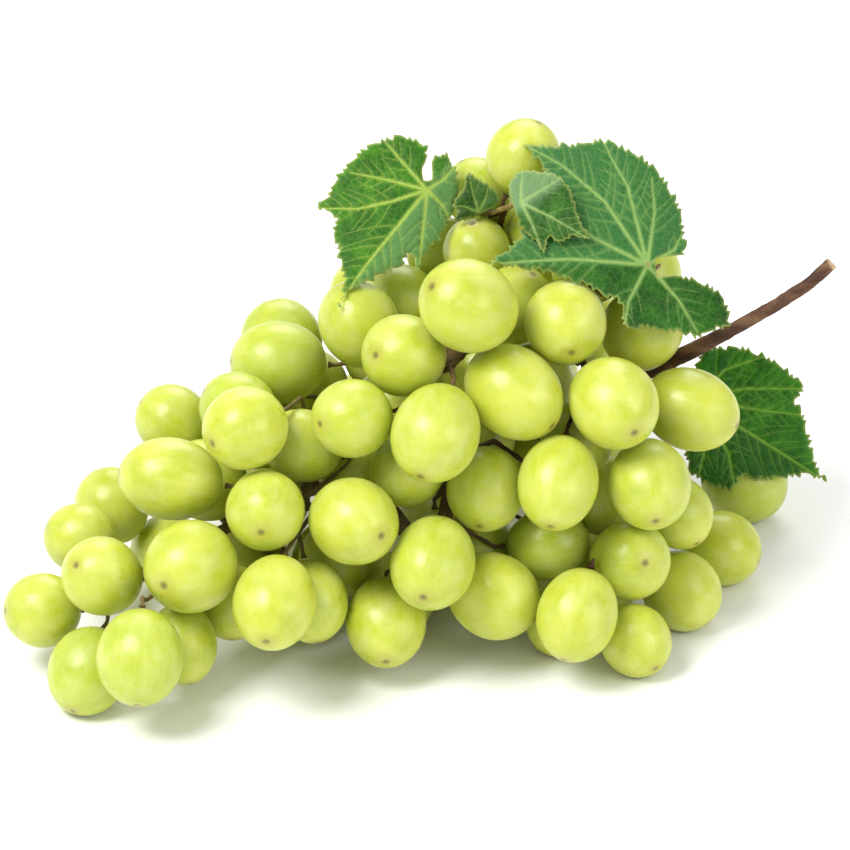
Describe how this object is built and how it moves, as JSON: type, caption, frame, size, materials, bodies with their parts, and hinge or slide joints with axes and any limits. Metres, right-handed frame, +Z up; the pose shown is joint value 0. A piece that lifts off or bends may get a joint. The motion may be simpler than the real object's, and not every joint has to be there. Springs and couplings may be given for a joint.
{
  "type": "bunch of grapes",
  "caption": "Long bunch of pale green grapes lying on a table, with a branching woody stem and lobed vine leaves.",
  "frame": {"origin": "centre of the bunch's bounding box at table height", "axes": "+X along the bunch towards its cut stem, +Z up, -Y towards the side that faces the viewer"},
  "size_m": [0.2162, 0.1564, 0.1211],
  "materials": {
    "berry_skin": "smooth translucent pale green skin with a dull bloom",
    "stem": "dull brown bark, ridged",
    "leaf": "satin green leaf with pale veins"
  },
  "bodies": {
    "root": {"berry_01": "berry_skin", "berry_02": "berry_skin", "berry_03": "berry_skin", "berry_04": "berry_skin", "berry_05": "berry_skin", "berry_06": "berry_skin", "berry_07": "berry_skin", "berry_08": "berry_skin", "berry_09": "berry_skin", "berry_10": "berry_skin", "berry_11": "berry_skin", "berry_12": "berry_skin", "berry_13": "berry_skin", "berry_14": "berry_skin", "berry_15": "berry_skin", "berry_16": "berry_skin", "berry_17": "berry_skin", "berry_18": "berry_skin", "berry_19": "berry_skin", "berry_20": "berry_skin", "berry_21": "berry_skin", "berry_22": "berry_skin", "berry_23": "berry_skin", "berry_24": "berry_skin", "berry_25": "berry_skin", "berry_26": "berry_skin", "berry_27": "berry_skin", "berry_28": "berry_skin", "berry_29": "berry_skin", "berry_30": "berry_skin", "berry_31": "berry_skin", "berry_32": "berry_skin", "berry_33": "berry_skin", "berry_34": "berry_skin", "berry_35": "berry_skin", "berry_36": "berry_skin", "berry_37": "berry_skin", "berry_38": "berry_skin", "berry_39": "berry_skin", "berry_40": "berry_skin", "berry_41": "berry_skin", "berry_42": "berry_skin", "leaf_large": "leaf", "leaf_left": "leaf", "leaf_right": "leaf", "leaf_small_left": "leaf", "leaf_small_right": "leaf", "rear_berries_01": "berry_skin", "rear_berries_02": "berry_skin", "rear_berries_03": "berry_skin", "rear_berries_04": "berry_skin", "rear_berries_05": "berry_skin", "rear_berries_06": "berry_skin", "rear_berries_07": "berry_skin", "rear_berries_08": "berry_skin", "rear_berries_09": "berry_skin", "rear_berries_10": "berry_skin", "rear_berries_11": "berry_skin", "rear_berries_12": "berry_skin", "stem": "stem"}
  },
  "joints": []
}
